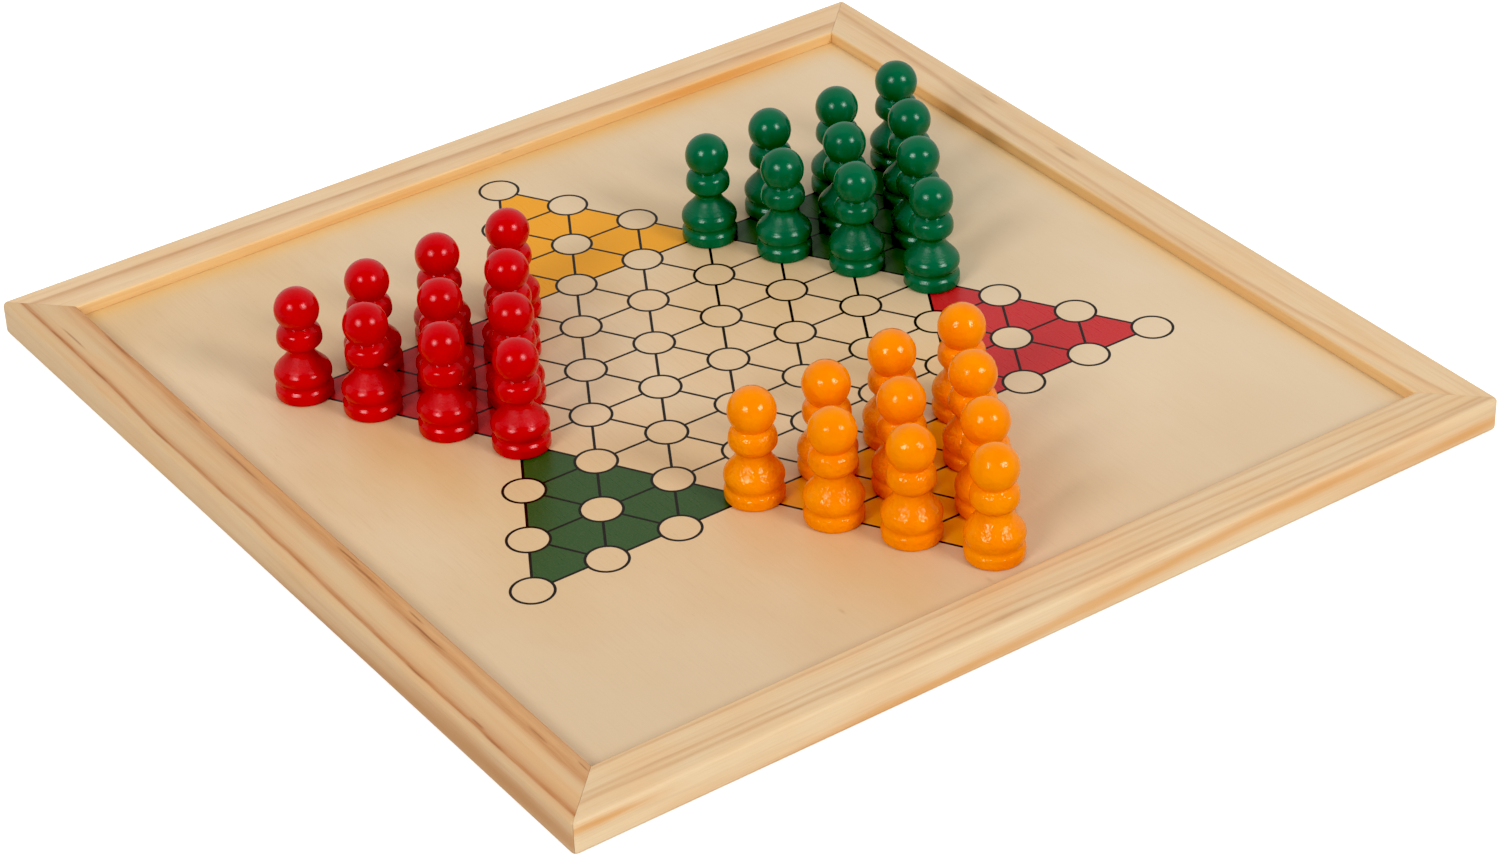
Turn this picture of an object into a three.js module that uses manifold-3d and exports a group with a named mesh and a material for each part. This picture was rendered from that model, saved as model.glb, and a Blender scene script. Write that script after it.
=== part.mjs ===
// Chinese checkers board: a square wooden board in a mitred frame, with thirty turned pawns.
// Millimetres, +Z up. The origin is the centre of the underside, where the frame rests on the table.
// +X runs along one side of the board and +Y along the next; the star has its tips on the Y axis.

import * as THREE from 'three';
import { mergeVertices } from 'three/addons/utils/BufferGeometryUtils.js';
import Module from 'manifold-3d';

const solids = await Module();
solids.setup();

// ---------- Driving dimensions ----------

const BOARD_SIDE = 300;
const RAIL_WIDTH = 16.2;
const RAIL_HEIGHT = 10.2;
const OUTER_EDGE_RADIUS = 1.3;
const INNER_EDGE_RADIUS = 1;
const MITRE_GAP = 0.05; // each rail stops this far short of the mitre plane

const PANEL_THICKNESS = 3;
const GROOVE_DEPTH = 5;
const GROOVE_FIT = 0.1; // air above and below the panel in its groove
const PANEL_END_GAP = 0.4; // room for the panel to swell, at the bottom of the groove

const NAIL_LEG = 4;
const NAIL_THICKNESS = 0.6;
const NAIL_HEIGHT = 5;
const NAIL_RECESS = 0.3; // how far the nail is driven below the underside
const NAIL_FIT = 0.15;
const NAIL_INSET = 8; // from the board's outer faces to the nail's bend

const POINT_PITCH = 23; // between neighbouring points in a row
const ROW_PITCH = 20; // between rows
const HOME_ROWS = 4; // a home triangle has rows of 4, 3, 2 and 1 points
const STAND_GAP = 0.05; // the thickness of the printing and varnish under a pawn

const PAWN_HEIGHT = 33.4;
const BASE_RADIUS = 8.1;
const GROOVE_RADIUS = 7.5;
const WAIST_RADIUS = 3.9;
const COLLAR_RADIUS = 6.3;
const NECK_RADIUS = 4.1;
const HEAD_RADIUS = 6.3;
const BASE_TOP = 4.6; // height of the groove between the base disc and the body
const BODY_BULGE = 7.3;
const WAIST = 13.9;
const COLLAR = 18.3;
const NECK = 22.4;
const PAWN_SIDES = 16;

const HALF_SIDE = BOARD_SIDE / 2;
const INNER_FACE = HALF_SIDE - RAIL_WIDTH;
const PANEL_BOTTOM = (RAIL_HEIGHT - PANEL_THICKNESS) / 2;
const PANEL_TOP = PANEL_BOTTOM + PANEL_THICKNESS;

// ---------- Materials ----------

function finish(color, roughness, metalness = 0) {
  return new THREE.MeshStandardMaterial({ color, roughness, metalness });
}

const PINE = 0xe0bf94;
const BIRCH = 0xe2c8a2;
const STEEL = 0x9a9c9e;
const PAWN_COLOURS = { red: 0xc8000f, green: 0x00593a, yellow: 0xf7930f };

// ---------- Solids ----------

function toSolid(geometry) {
  const bare = geometry.clone();
  bare.deleteAttribute('normal');
  bare.deleteAttribute('uv');
  const merged = mergeVertices(bare);
  return new solids.Manifold(new solids.Mesh({
    numProp: 3,
    vertProperties: new Float32Array(merged.attributes.position.array),
    triVerts: new Uint32Array(merged.index.array),
  }));
}

function fromSolid(solid) {
  const mesh = solid.getMesh();
  const geometry = new THREE.BufferGeometry();
  geometry.setAttribute('position', new THREE.BufferAttribute(mesh.vertProperties, 3));
  geometry.setIndex(new THREE.BufferAttribute(mesh.triVerts, 1));
  const flat = geometry.toNonIndexed();
  flat.computeVertexNormals();
  return flat;
}

// ---------- Frame ----------

// The rail's section, drawn with x as the distance from the board's centre and y as the height.
// The outer corners are eased, the inner ones less so, and the groove for the panel is in the inner face.
function railSection() {
  const r = OUTER_EDGE_RADIUS;
  const s = INNER_EDGE_RADIUS;
  const grooveLow = PANEL_BOTTOM - GROOVE_FIT;
  const grooveHigh = PANEL_TOP + GROOVE_FIT;
  const section = new THREE.Shape();
  section.moveTo(INNER_FACE + s, 0);
  section.lineTo(HALF_SIDE - r, 0);
  section.absarc(HALF_SIDE - r, r, r, -Math.PI / 2, 0, false);
  section.lineTo(HALF_SIDE, RAIL_HEIGHT - r);
  section.absarc(HALF_SIDE - r, RAIL_HEIGHT - r, r, 0, Math.PI / 2, false);
  section.lineTo(INNER_FACE + s, RAIL_HEIGHT);
  section.absarc(INNER_FACE + s, RAIL_HEIGHT - s, s, Math.PI / 2, Math.PI, false);
  section.lineTo(INNER_FACE, grooveHigh);
  section.lineTo(INNER_FACE + GROOVE_DEPTH, grooveHigh);
  section.lineTo(INNER_FACE + GROOVE_DEPTH, grooveLow);
  section.lineTo(INNER_FACE, grooveLow);
  section.lineTo(INNER_FACE, s);
  section.absarc(INNER_FACE + s, s, s, Math.PI, Math.PI * 1.5, false);
  return section;
}

// A rail lies along X on the +Y side. Its length at every point of the section is twice that
// point's distance from the centre, which cuts both ends to 45 degrees.
function railGeometry() {
  const bar = new THREE.ExtrudeGeometry(railSection(), { depth: 1, bevelEnabled: false, curveSegments: 4 });
  const points = bar.attributes.position;
  for (let i = 0; i < points.count; i += 1) {
    const outward = points.getX(i);
    const height = points.getY(i);
    const end = points.getZ(i) > 0.5 ? 1 : -1;
    points.setXYZ(i, end * (outward - MITRE_GAP), outward, height);
  }
  let rail = toSolid(bar);
  for (const end of [1, -1]) {
    rail = rail.subtract(toSolid(nailSlot(end)));
  }
  return fromSolid(rail);
}

// ---------- Corner nails ----------

// A corner nail is a strip of steel bent to a right angle. Seen from below, the bend sits on the
// mitre and one leg reaches into each rail.
function nailOutline(grow) {
  const half = NAIL_THICKNESS / 2 + grow;
  const tip = NAIL_LEG + grow;
  const outline = new THREE.Shape();
  outline.moveTo(-half, -half);
  outline.lineTo(tip, -half);
  outline.lineTo(tip, half);
  outline.lineTo(half, half);
  outline.lineTo(half, tip);
  outline.lineTo(-half, tip);
  return outline;
}

function nailGeometry() {
  return new THREE.ExtrudeGeometry(nailOutline(0), { depth: NAIL_HEIGHT, bevelEnabled: false });
}

// The slot a nail leaves in the rail on the +Y side, at its +X end or its -X end. It starts
// below the underside, so that the cut is open there.
function nailSlot(end) {
  const below = 1;
  const depth = below + NAIL_RECESS + NAIL_HEIGHT + NAIL_FIT;
  const slot = new THREE.ExtrudeGeometry(nailOutline(NAIL_FIT), { depth, bevelEnabled: false });
  const bend = HALF_SIDE - NAIL_INSET;
  slot.rotateZ(end > 0 ? 0 : Math.PI / 2);
  slot.translate(end * bend, bend, -below);
  return slot;
}

// ---------- Panel ----------

function panelGeometry() {
  const side = 2 * (INNER_FACE + GROOVE_DEPTH - PANEL_END_GAP);
  return new THREE.BoxGeometry(side, side, PANEL_THICKNESS);
}

// ---------- Pawns ----------

// The turned outline from the centre of the foot to the top of the head: a base disc, a shallow
// groove, a bell-shaped body, a narrow waist, a bead for a collar, and a ball.
function pawnOutline() {
  const headCentre = PAWN_HEIGHT - HEAD_RADIUS;
  const outline = [
    [0, 0],
    [BASE_RADIUS - 0.7, 0],
    [BASE_RADIUS, 1.2],
    [BASE_RADIUS, BASE_TOP - 1.2],
    [GROOVE_RADIUS, BASE_TOP],
    [BASE_RADIUS, BODY_BULGE - 0.7],
    [BASE_RADIUS - 0.4, BODY_BULGE + 1],
    [(BASE_RADIUS + WAIST_RADIUS) / 2, (BODY_BULGE + WAIST) / 2],
    [WAIST_RADIUS, WAIST],
    [COLLAR_RADIUS - 0.5, COLLAR - 1.4],
    [COLLAR_RADIUS, COLLAR],
    [COLLAR_RADIUS - 0.8, COLLAR + 2.4],
    [NECK_RADIUS, NECK],
  ];
  const latitudes = [-22, 12, 42, 68];
  for (const degrees of latitudes) {
    const angle = THREE.MathUtils.degToRad(degrees);
    outline.push([HEAD_RADIUS * Math.cos(angle), headCentre + HEAD_RADIUS * Math.sin(angle)]);
  }
  outline.push([0, PAWN_HEIGHT]);
  return outline.map(([radius, height]) => new THREE.Vector2(radius, height));
}

// LatheGeometry turns about Y, so the pawn is stood up along Z.
function pawnGeometry() {
  const pawn = new THREE.LatheGeometry(pawnOutline(), PAWN_SIDES);
  pawn.rotateX(Math.PI / 2);
  return pawn;
}

// Each home triangle starts at the left end of its row of four. The red and green homes narrow
// towards the board's middle line and the yellow one narrows to the star's tip.
const HOMES = {
  red: { column: -4.5, row: 3 },
  green: { column: 1.5, row: 3 },
  yellow: { column: -1.5, row: -3 },
};

// A pawn is set down by hand, so it stands about a millimetre off the centre of its circle.
function setDown(count) {
  return [
    0.7 + 0.65 * Math.sin(0.32 * count + 2.24),
    -0.75 + 0.9 * Math.sin(2.72 * count - 2.49),
  ];
}

// ---------- Assembly ----------

const board = new THREE.Group();

function place(name, geometry, material, parent = board) {
  const mesh = new THREE.Mesh(geometry, material);
  mesh.name = name;
  parent.add(mesh);
  return mesh;
}

const sides = ['back_left', 'front_left', 'front_right', 'back_right'];
const corners = ['back', 'left', 'front', 'right'];
const rail = railGeometry();
const nail = nailGeometry();
sides.forEach((side, turn) => {
  const quarter = new THREE.Group();
  quarter.rotation.z = turn * Math.PI / 2;
  board.add(quarter);
  place(`frame_rail_${side}`, rail, finish(PINE, 0.55), quarter);
  const bend = HALF_SIDE - NAIL_INSET;
  const cornerNail = place(`corner_nail_${corners[turn]}`, nail, finish(STEEL, 0.35, 1), quarter);
  cornerNail.position.set(bend, bend, NAIL_RECESS);
});

const panel = place('playing_panel', panelGeometry(), finish(BIRCH, 0.4));
panel.position.z = PANEL_BOTTOM + PANEL_THICKNESS / 2;

const pawn = pawnGeometry();
let count = 0;
for (const [colour, home] of Object.entries(HOMES)) {
  let number = 1;
  for (let row = 0; row < HOME_ROWS; row += 1) {
    for (let i = 0; i < HOME_ROWS - row; i += 1) {
      const [slipX, slipY] = setDown(count);
      const x = (home.column + i + row / 2) * POINT_PITCH;
      const y = (home.row - row) * ROW_PITCH;
      const mesh = place(`pawn_${colour}_${number}`, pawn, finish(PAWN_COLOURS[colour], 0.25));
      mesh.position.set(x + slipX, y + slipY, PANEL_TOP + STAND_GAP);
      number += 1;
      count += 1;
    }
  }
}

export default board;
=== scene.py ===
"""The looks of a wooden Chinese checkers board: a mitred pine frame, a printed birch panel and thirty
turned pawns under gloss paint. Metres and +Z up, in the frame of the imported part. Values named in
millimetres are multiplied by MM where they meet the geometry."""

import math

import bpy
import numpy as np
from mathutils import Matrix, Vector, noise


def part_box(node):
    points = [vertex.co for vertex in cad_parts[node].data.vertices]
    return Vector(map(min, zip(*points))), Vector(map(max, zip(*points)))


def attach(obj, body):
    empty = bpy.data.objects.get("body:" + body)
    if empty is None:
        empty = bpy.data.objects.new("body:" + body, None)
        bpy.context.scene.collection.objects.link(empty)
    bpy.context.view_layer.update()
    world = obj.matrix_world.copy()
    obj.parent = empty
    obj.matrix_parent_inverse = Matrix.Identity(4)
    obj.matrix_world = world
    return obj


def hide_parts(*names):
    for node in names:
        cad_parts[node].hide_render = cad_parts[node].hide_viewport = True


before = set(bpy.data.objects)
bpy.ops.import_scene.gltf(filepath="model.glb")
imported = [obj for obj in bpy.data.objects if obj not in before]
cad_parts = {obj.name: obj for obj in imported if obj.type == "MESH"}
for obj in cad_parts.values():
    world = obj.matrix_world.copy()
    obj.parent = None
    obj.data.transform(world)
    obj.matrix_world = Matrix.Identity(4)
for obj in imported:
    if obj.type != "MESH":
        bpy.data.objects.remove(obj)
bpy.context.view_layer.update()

# ---------- Sizes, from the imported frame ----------

MM = 0.001
panel_low, panel_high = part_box("playing_panel")
rail_low, rail_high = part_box("frame_rail_back_left")
HALF_SIDE = rail_high.y / MM
INNER_FACE = rail_low.y / MM
RAIL_WIDTH = HALF_SIDE - INNER_FACE
RAIL_HEIGHT = rail_high.z / MM
PANEL_BOTTOM = panel_low.z / MM
PANEL_TOP = panel_high.z / MM

# The printed star: its points stand in rows, and a circle is printed round each one.
COLUMN_PITCH = 2 * HALF_SIDE * 23 / 300
ROW_PITCH = 2 * HALF_SIDE * 20 / 300
RING_RADIUS = 5.8
LINE_WIDTH = 0.78

TAU = 2 * math.pi


def linear(red, green, blue):
    """A colour given as 0 to 255 screen values, as the linear values that shaders take."""
    shares = [value / 255 for value in (red, green, blue)]
    return tuple(s / 12.92 if s <= 0.04045 else ((s + 0.055) / 1.055) ** 2.4 for s in shares)


# ---------- Node trees ----------


class Shading:
    """A material made of one Principled shader. Its calls add nodes and return their outputs, and
    every value they take may be a number, a colour or another node's output."""

    def __init__(self, name):
        self.material = bpy.data.materials.new(name)
        self.material.use_nodes = True
        self.tree = self.material.node_tree
        self.tree.nodes.clear()
        self.shader = self.tree.nodes.new("ShaderNodeBsdfPrincipled")
        output = self.tree.nodes.new("ShaderNodeOutputMaterial")
        self.tree.links.new(self.shader.outputs["BSDF"], output.inputs["Surface"])

    def feed(self, socket, value):
        if isinstance(value, bpy.types.NodeSocket):
            self.tree.links.new(value, socket)
        elif socket.type == "RGBA":
            socket.default_value = (*value[:3], 1.0)
        else:
            socket.default_value = value

    def surface(self, **values):
        for name, value in values.items():
            self.feed(self.shader.inputs[name.replace("_", " ").title().replace("Ior", "IOR")], value)

    def math(self, operation, *values, clamp=False):
        node = self.tree.nodes.new("ShaderNodeMath")
        node.operation = operation
        node.use_clamp = clamp
        for socket, value in zip(node.inputs, values):
            self.feed(socket, value)
        return node.outputs[0]

    def add(self, a, b):
        return self.math("ADD", a, b)

    def subtract(self, a, b):
        return self.math("SUBTRACT", a, b)

    def times(self, a, b):
        return self.math("MULTIPLY", a, b)

    def total(self, values):
        result = values[0]
        for value in values[1:]:
            result = self.add(result, value)
        return result

    def vector(self, x, y, z):
        node = self.tree.nodes.new("ShaderNodeCombineXYZ")
        for socket, value in zip(node.inputs, (x, y, z)):
            self.feed(socket, value)
        return node.outputs[0]

    def split(self, vector):
        node = self.tree.nodes.new("ShaderNodeSeparateXYZ")
        self.feed(node.inputs[0], vector)
        return tuple(node.outputs)

    def stored(self, name):
        """A vector kept on the mesh, such as a piece's own coordinates in millimetres."""
        node = self.tree.nodes.new("ShaderNodeAttribute")
        node.attribute_name = name
        return node.outputs["Vector"]

    def place(self):
        """The point in the row frame, in millimetres, for pieces that never move."""
        node = self.tree.nodes.new("ShaderNodeTexCoord")
        scale = self.tree.nodes.new("ShaderNodeVectorMath")
        scale.operation = "SCALE"
        self.tree.links.new(node.outputs["Object"], scale.inputs[0])
        scale.inputs["Scale"].default_value = 1 / MM
        return scale.outputs[0]

    def noise(self, vector, scale=1.0, detail=2.0, roughness=0.5, distortion=0.0):
        node = self.tree.nodes.new("ShaderNodeTexNoise")
        self.feed(node.inputs["Vector"], vector)
        self.feed(node.inputs["Scale"], scale)
        self.feed(node.inputs["Detail"], detail)
        self.feed(node.inputs["Roughness"], roughness)
        self.feed(node.inputs["Distortion"], distortion)
        return node.outputs["Fac"]

    def spots(self, vector, scale=1.0):
        """Distance to the nearest of many scattered points."""
        node = self.tree.nodes.new("ShaderNodeTexVoronoi")
        self.feed(node.inputs["Vector"], vector)
        self.feed(node.inputs["Scale"], scale)
        return node.outputs["Distance"]

    def ease(self, value, start, end, low=0.0, high=1.0):
        """low up to start, high from end on, and a smooth step between them."""
        node = self.tree.nodes.new("ShaderNodeMapRange")
        node.interpolation_type = "SMOOTHSTEP"
        given = {"Value": value, "From Min": start, "From Max": end, "To Min": low, "To Max": high}
        for name, setting in given.items():
            self.feed(node.inputs[name], setting)
        return node.outputs["Result"]

    def curve(self, value, points):
        """A smooth curve through points given as (input, output) pairs."""
        xs = [x for x, _ in points]
        ys = [y for _, y in points]
        low_x, span_x = min(xs), max(xs) - min(xs)
        low_y, span_y = min(ys), max(max(ys) - min(ys), 1e-6)
        node = self.tree.nodes.new("ShaderNodeFloatCurve")
        handles = node.mapping.curves[0].points
        while len(handles) < len(points):
            handles.new(0.5, 0.5)
        for handle, (x, y) in zip(handles, sorted(points)):
            handle.location = ((x - low_x) / span_x, (y - low_y) / span_y)
        node.mapping.update()
        share = self.math("DIVIDE", self.subtract(value, low_x), span_x, clamp=True)
        self.feed(node.inputs["Value"], share)
        return self.add(self.times(node.outputs["Value"], span_y), low_y)

    def mix(self, share, a, b):
        node = self.tree.nodes.new("ShaderNodeMix")
        node.data_type = "RGBA"
        node.clamp_factor = True
        self.feed(node.inputs[0], share)
        self.feed(node.inputs[6], a)
        self.feed(node.inputs[7], b)
        return node.outputs[2]

    def bump(self, height, distance, under=None):
        """A normal for a surface whose height, from 0 to 1, stands for a distance in millimetres."""
        node = self.tree.nodes.new("ShaderNodeBump")
        self.feed(node.inputs["Height"], height)
        self.feed(node.inputs["Distance"], distance * MM)
        if under is not None:
            self.feed(node.inputs["Normal"], under)
        return node.outputs["Normal"]

    def bell(self, value, centre, reach):
        """1 at centre, fading to about a third at reach on both sides."""
        offset = self.math("DIVIDE", self.subtract(value, centre), reach)
        return self.math("POWER", math.e, self.times(self.times(offset, offset), -1.0))

    def mound(self, value, centre, reach):
        """Like bell, but nearly flat over the middle and steeper at the ends."""
        offset = self.math("DIVIDE", self.subtract(value, centre), reach)
        square = self.times(offset, offset)
        return self.math("POWER", math.e, self.times(self.times(square, square), -1.0))


# ---------- Pine ----------

PINE_LATE_WOOD = linear(182, 118, 66)
PINE_DASH_AND_SHADOW = linear(142, 80, 40)
PINE_ORANGE = linear(232, 166, 92)
PINE_BROWN = linear(196, 138, 86)
PINE_BARE = linear(240, 218, 184)

# What each rail shows: the tint of its top, its outer side and its inner face, and then marks. These
# tints are partly the pine's own colour and partly painted light: the outer sides and inner faces are
# made lighter or darker than the tops as light falls on them. Places are given as (along, across) in
# millimetres: along runs over the rail's length from its middle, and across over its unrolled surface,
# from the top outer edge. It is negative down the outer side, and it goes on over the top and down the
# inner face.
# lines: how far a growth line fades outwards and inwards, its strength, the places it runs through.
# dashes and shadows: the middle of a short dark streak, its length, its width and its strength. The
# broad one on the back right rail's inner face is a painted shadow of the green pawns.
# stains: the middle of a patch, its length and width, its slope, its strength and its colour.
RAILS = {
    "back_left": {
        "tint": linear(233, 204, 164),
        "side": linear(233, 204, 164),
        "inner": linear(244, 206, 146),
        "lines": [
            (0.6, 1.6, 0.5, [(-145, 6.3), (-90, 7.0), (0, 8.5), (35, 9.3), (75, 10.5), (145, 11.4)]),
            (1.4, 1.6, 0.14, [(-145, 9.0), (0, 10.6), (60, 12.4), (145, 13.6)]),
        ],
        "dashes_and_shadows": [(-85, 6.9, 4, 0.5, 0.2), (-15, 8.3, 6, 0.5, 0.2), (12, 16.6, 4, 0.4, 0.4)],
        "stains": [
            (95, 13.5, 50, 2.0, 0.0, 0.3, PINE_ORANGE),
            (85, 18, 34, 2.5, 0.0, 0.9, PINE_ORANGE),
            (-40, 19, 40, 1.0, 0.0, 0.3, PINE_ORANGE),
        ],
    },
    "front_left": {
        "tint": linear(215, 183, 141),
        "side": linear(231, 199, 156),
        "inner": linear(214, 166, 114),
        "lines": [
            (0.35, 0.9, 0.72, [(-148, 2.2), (-112, 2.0), (-75, 2.1), (0, 2.9),
                               (55, 2.8), (95, 4.2), (148, 4.4)]),
            (1.0, 1.9, 0.26, [(-148, 2.8), (-75, 2.8), (0, 3.6), (60, 3.6), (148, 5.2)]),
            (1.6, 1.4, 0.55, [(-140, 12.3), (-65, 12.2), (-30, 13.4),
                              (30, 13.2), (100, 15.2), (140, 15.5)]),
            (1.6, 2.6, 0.5, [(-140, 15.2), (-30, 15.8), (140, 17.5)]),
            (1.1, 1.0, 0.2, [(-140, 10.9), (0, 11.6), (60, 11.6), (140, 13.0)]),
        ],
        "dashes_and_shadows": [
            (119, 7.4, 11, 0.25, 0.6),
            (-112, 2.0, 8, 0.4, 0.5),
            (-103, 2.9, 5, 0.35, 0.7),
            (-76, 2.1, 8, 0.4, 0.6),
            (60, 2.8, 9, 0.4, 0.45),
            (98, 4.2, 9, 0.4, 0.6),
            (123, 4.4, 7, 0.4, 0.5),
            (-133, 14.2, 4, 0.3, 0.6),
            (-116, 12.3, 7, 0.35, 0.55),
            (-64, 12.3, 14, 0.4, 0.8),
            (-56, 14.1, 6, 0.3, 0.7),
            (-32, 13.4, 14, 0.4, 0.7),
            (-22, 14.3, 9, 0.35, 0.8),
            (33, 13.2, 17, 0.4, 0.55),
            (62, 14.4, 7, 0.35, 0.6),
            (107, 15.3, 14, 0.35, 0.75),
        ],
        "stains": [
            (-125, -5.6, 62, 3.6, 0.015, 0.8, PINE_BROWN),
            (-60, -8.2, 75, 2.2, -0.02, 0.7, PINE_BROWN),
            (-128, 3.4, 50, 3.0, 0.0, 0.35, PINE_BROWN),
            (-135, 6.5, 60, 1.6, 0.0, 0.15, PINE_ORANGE),
            (20, 14.6, 150, 2.2, 0.012, 0.5, PINE_ORANGE),
        ],
    },
    "front_right": {
        "tint": linear(225, 198, 158),
        "side": linear(246, 218, 176),
        "inner": linear(230, 186, 128),
        "lines": [
            (0.7, 0.9, 0.34, [(-145, 1.7), (-100, 1.5), (-50, 2.3), (15, 2.8),
                              (50, 3.5), (100, 4.6), (145, 5.7)]),
            (0.8, 0.5, 0.34, [(-145, 3.7), (-100, 4.0), (-60, 5.1), (-20, 5.1),
                              (10, 6.3), (60, 6.8), (145, 8.0)]),
            (0.7, 0.5, 0.12, [(-145, 7.0), (0, 8.4), (145, 10.4)]),
            (0.4, 0.9, 0.32, [(-145, 10.0), (-100, 10.4), (-60, 11.5), (-25, 12.6),
                              (25, 13.3), (100, 14.3), (145, 15.0)]),
            (0.6, 0.7, 0.2, [(-145, 12.4), (-50, 15.2), (145, 17.0)]),
            (0.6, 0.7, 0.15, [(-145, 15.0), (0, 17.0), (145, 18.6)]),
        ],
        "dashes_and_shadows": [(-132, 16.0, 3, 0.5, 0.4), (16, 2.9, 10, 0.9, 0.22)],
        "stains": [
            (-138, -7.0, 30, 2.2, -0.02, 0.8, PINE_ORANGE),
            (-85, -2.6, 34, 2.2, -0.015, 0.75, PINE_ORANGE),
            (-30, -4.6, 40, 2.0, -0.055, 0.75, PINE_ORANGE),
            (45, -8.2, 52, 1.7, -0.03, 0.75, PINE_ORANGE),
            (142, -2.6, 15, 1.3, 0.03, 0.85, PINE_ORANGE),
            (8, 13.5, 26, 3.0, 0.0, 0.25, PINE_ORANGE),
        ],
    },
    "back_right": {
        "tint": linear(230, 201, 160),
        "side": linear(230, 201, 160),
        "inner": linear(236, 196, 138),
        "lines": [
            (0.6, 1.3, 0.34, [(-145, 5.3), (-100, 7.3), (-62, 10.4), (-25, 11.4),
                              (0, 11.9), (45, 13.9), (100, 11.7), (145, 8.7)]),
            (0.8, 0.8, 0.14, [(-145, 9.4), (-100, 6.9), (-75, 9.4), (0, 15), (45, 16.2), (145, 14.2)]),
            (1.0, 1.0, 0.08, [(-145, 3.2), (-60, 4.4), (145, 3.4)]),
        ],
        # The last dash, broad and on the inner face, is a painted shadow of the green pawns.
        "dashes_and_shadows": [(-68, 4.2, 7, 0.5, 0.3), (-27, 7.0, 9, 0.9, 0.35), (-60, 18.2, 20, 2.2, 0.25)],
        "stains": [
            (-70, 18, 26, 3, 0.0, 0.4, PINE_ORANGE),
            (110, 12.5, 40, 1.6, -0.05, 0.2, PINE_ORANGE),
        ],
    },
}


def pine(side, look):
    """Pine under satin varnish. The mesh holds its own coordinates, in millimetres, as 'wood'."""
    g = Shading("pine_" + side)
    x, y, z = g.split(g.stored("wood"))
    seed = 37.0 * list(RAILS).index(side)
    depth = g.subtract(RAIL_HEIGHT, z)
    inset = g.subtract(HALF_SIDE, y)
    outer_half = g.math("LESS_THAN", inset, RAIL_WIDTH / 2)
    unrolled = g.add(inset, g.times(depth, g.subtract(1.0, g.times(outer_half, 2.0))))
    waver = g.noise(g.vector(g.times(x, 0.035), seed, g.times(unrolled, 0.12)), 1.0, 2.0)
    across = g.add(unrolled, g.times(g.subtract(waver, 0.5), 1.1))

    fine = g.vector(g.times(x, 0.05), g.add(g.times(y, 2.4), seed), g.times(z, 2.4))
    fibre = g.noise(fine, 1.0, 3.0, 0.6)
    streak = g.noise(g.vector(g.times(x, 0.016), g.times(across, 0.5), seed), 1.0, 3.0, 0.55)
    cloud = g.noise(g.vector(g.times(x, 0.03), g.times(across, 0.09), seed + 5.0), 1.0, 2.0)
    broken = g.noise(g.vector(g.times(x, 0.09), g.times(across, 1.6), seed + 9.0), 1.0, 3.0, 0.6)

    # Painted light as well as the pine's colour: the outer side and inner face get tints of their own.
    colour = g.mix(g.ease(unrolled, -1.6, 0.4), look["side"], look["tint"])
    colour = g.mix(g.ease(unrolled, RAIL_WIDTH - 0.9, RAIL_WIDTH + 0.1), colour, look["inner"])
    colour = g.mix(g.ease(cloud, 0.3, 0.75, 0.0, 0.25), colour, PINE_ORANGE)
    colour = g.mix(g.ease(streak, 0.45, 0.8, 0.0, 0.16), colour, PINE_LATE_WOOD)
    colour = g.mix(g.ease(fibre, 0.4, 0.75, 0.0, 0.10), colour, PINE_LATE_WOOD)

    for along, middle, length, width, slope, strength, stain in look["stains"]:
        centre = g.add(g.times(g.subtract(x, along), slope), middle)
        ragged = g.add(across, g.times(g.subtract(broken, 0.5), 2.2))
        patch = g.times(g.bell(x, along, length), g.bell(ragged, centre, width))
        colour = g.mix(g.times(patch, strength), colour, stain)

    marks = []
    for fade_out, fade_in, strength, places in look["lines"]:
        offset = g.subtract(across, g.curve(x, places))
        outward = g.math("DIVIDE", g.math("MINIMUM", offset, 0.0), fade_out)
        inward = g.math("DIVIDE", g.math("MAXIMUM", offset, 0.0), fade_in)
        square = g.add(g.times(outward, outward), g.times(inward, inward))
        line = g.math("POWER", math.e, g.times(square, -1.0))
        marks.append(g.times(line, g.ease(broken, 0.25, 0.75, strength * 0.7, strength * 1.2)))
    late_wood = g.total(marks)
    colour = g.mix(late_wood, colour, PINE_LATE_WOOD)

    # Dark latewood streaks, and on the back right rail's inner face a painted shadow.
    for along, middle, length, width, strength in look["dashes_and_shadows"]:
        ragged = g.add(across, g.times(g.subtract(broken, 0.5), 0.6))
        dash_and_shadow = g.times(g.mound(x, along, length * 0.55), g.bell(ragged, middle, width * 0.8))
        colour = g.mix(g.times(dash_and_shadow, strength), colour, PINE_DASH_AND_SHADOW)

    # Handling has worn the varnish thin along the top edges.
    edges = g.add(g.bell(unrolled, 0.0, 0.5), g.bell(unrolled, RAIL_WIDTH, 0.4))
    worn = g.times(edges, g.ease(broken, 0.5, 0.8, 0.05, 0.3))
    colour = g.mix(worn, colour, PINE_BARE)

    relief = g.add(g.times(fibre, 0.5), g.times(late_wood, -0.5))
    g.surface(
        base_color=colour,
        roughness=g.add(g.ease(streak, 0.3, 0.8, 0.40, 0.52), g.times(worn, 0.3)),
        specular_ior_level=0.3,
        normal=g.bump(relief, 0.05),
    )
    return g.material


# ---------- Birch plywood ----------

BIRCH_PALE = linear(226, 199, 162)
BIRCH_WARM = linear(221, 187, 142)
BIRCH_AMBER = linear(222, 168, 92)
BIRCH_PAINTED_REFLECTION = linear(236, 192, 112)
BIRCH_PAINTED_LIGHT = linear(228, 208, 178)
BIRCH_PAINTED_SHADE = linear(208, 183, 150)
BIRCH_PORE = linear(168, 122, 80)
FLECK_STRETCH = 2.5  # how much longer a bark fleck is along the grain than across it

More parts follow.
